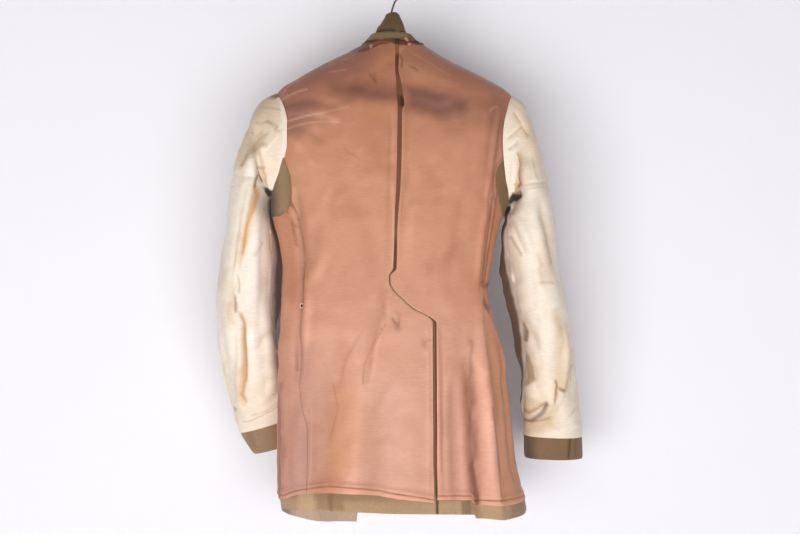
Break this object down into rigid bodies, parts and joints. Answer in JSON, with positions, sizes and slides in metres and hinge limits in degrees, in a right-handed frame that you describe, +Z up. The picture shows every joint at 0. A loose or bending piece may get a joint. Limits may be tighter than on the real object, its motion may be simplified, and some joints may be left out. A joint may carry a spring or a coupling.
{
  "type": "military service coat on a wire hanger",
  "caption": "Wool military service coat turned inside out to show its cotton linings, hanging on a wire hanger by the hook",
  "frame": {"origin": "inner top of the hanger's hook, where it rests on the rail", "axes": "+Z up, +X to the right as seen by someone facing the coat's back, -Y out of the coat's back towards that viewer"},
  "size_m": [0.623, 0.231, 0.9183],
  "materials": {
    "wool": "felted matt wool",
    "body_lining": "soft satin cotton, stained",
    "sleeve_lining": "satin cotton",
    "wire": "plated wire",
    "button": "darkened"
  },
  "bodies": {
    "root": {"back_left": "wool", "back_right": "wool", "side_left": "wool", "side_right": "wool", "front_left": "wool", "front_right": "wool", "facing_left": "wool", "facing_right": "wool", "shield_left": "wool", "shield_right": "wool", "cuff_left": "wool", "cuff_right": "wool", "collar_stand": "wool", "collar_leaf": "wool", "vent_underlap": "wool", "lining_back_left": "body_lining", "lining_back_right": "body_lining", "lining_side_left": "body_lining", "lining_side_right": "body_lining", "lining_front_left": "body_lining", "lining_front_right": "body_lining", "sleeve_top_left": "sleeve_lining", "sleeve_under_left": "sleeve_lining", "sleeve_top_right": "sleeve_lining", "sleeve_under_right": "sleeve_lining", "cuff_band_left": "sleeve_lining", "cuff_band_right": "sleeve_lining", "hanger": "wire", "button_1": "button", "button_2": "button", "button_3": "button", "button_4": "button"}
  },
  "joints": []
}
